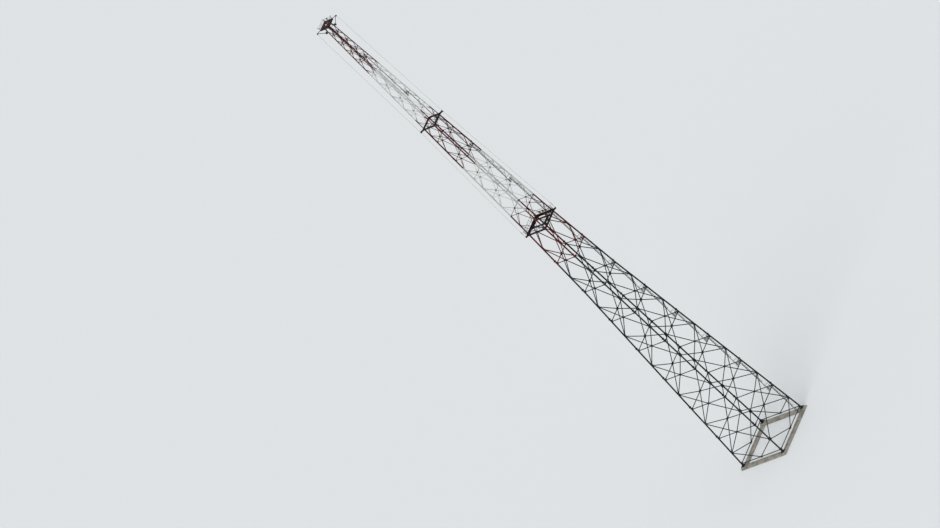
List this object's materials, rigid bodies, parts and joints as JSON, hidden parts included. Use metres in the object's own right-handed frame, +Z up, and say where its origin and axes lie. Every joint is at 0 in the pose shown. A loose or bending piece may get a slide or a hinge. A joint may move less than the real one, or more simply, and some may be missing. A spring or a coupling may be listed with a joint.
{
  "type": "free-standing lattice radio mast, 1:10 scale model",
  "caption": "Tall square lattice mast on battered tube legs, cross-braced, with a platform, a collar ring, a head deck with arms, ladders and taut cage wires.",
  "frame": {"origin": "underside of the square ground beam, on the ground, on the mast's centre line", "axes": "+Z up the mast; the four sides face +X, +Y, -X and -Y; the ladder stands in the +X +Y corner"},
  "size_m": [1.2314, 1.2314, 12.553],
  "materials": {
    "concrete": "rough cast",
    "grey_steel": "weathered zinc paint",
    "banded_steel": "weathered red and white bands",
    "deck_steel": "weathered paint",
    "ladder_steel": "galvanised",
    "wire": "stranded",
    "porcelain": "grey glaze",
    "lamp_glass": "ribbed red lens"
  },
  "bodies": {
    "root": {"base_shoe_north_east": "grey_steel", "base_shoe_north_west": "grey_steel", "base_shoe_south_east": "grey_steel", "base_shoe_south_west": "grey_steel", "collar_ring": "deck_steel", "ground_beam": "concrete", "head_arms": "deck_steel", "head_deck": "deck_steel", "head_rail": "deck_steel", "ladder_landings": "ladder_steel", "ladder_lower": "ladder_steel", "ladder_middle": "ladder_steel", "ladder_upper": "ladder_steel", "lower_bracing_east": "grey_steel", "lower_bracing_north": "grey_steel", "lower_bracing_south": "grey_steel", "lower_bracing_west": "grey_steel", "lower_cage_wires": "wire", "lower_leg_north_east": "grey_steel", "lower_leg_north_west": "grey_steel", "lower_leg_south_east": "grey_steel", "lower_leg_south_west": "grey_steel", "middle_bracing_east": "banded_steel", "middle_bracing_north": "banded_steel", "middle_bracing_south": "banded_steel", "middle_bracing_west": "banded_steel", "middle_leg_north_east": "banded_steel", "middle_leg_north_west": "banded_steel", "middle_leg_south_east": "banded_steel", "middle_leg_south_west": "banded_steel", "obstruction_lamps": "lamp_glass", "platform_frame": "deck_steel", "platform_rail": "deck_steel", "platform_walkways": "deck_steel", "plinth_north_east": "concrete", "plinth_north_west": "concrete", "plinth_south_east": "concrete", "plinth_south_west": "concrete", "upper_bracing_east": "banded_steel", "upper_bracing_north": "banded_steel", "upper_bracing_south": "banded_steel", "upper_bracing_west": "banded_steel", "upper_cage_wires": "wire", "upper_leg_north_east": "banded_steel", "upper_leg_north_west": "banded_steel", "upper_leg_south_east": "banded_steel", "upper_leg_south_west": "banded_steel", "wire_insulators": "porcelain"}
  },
  "joints": []
}
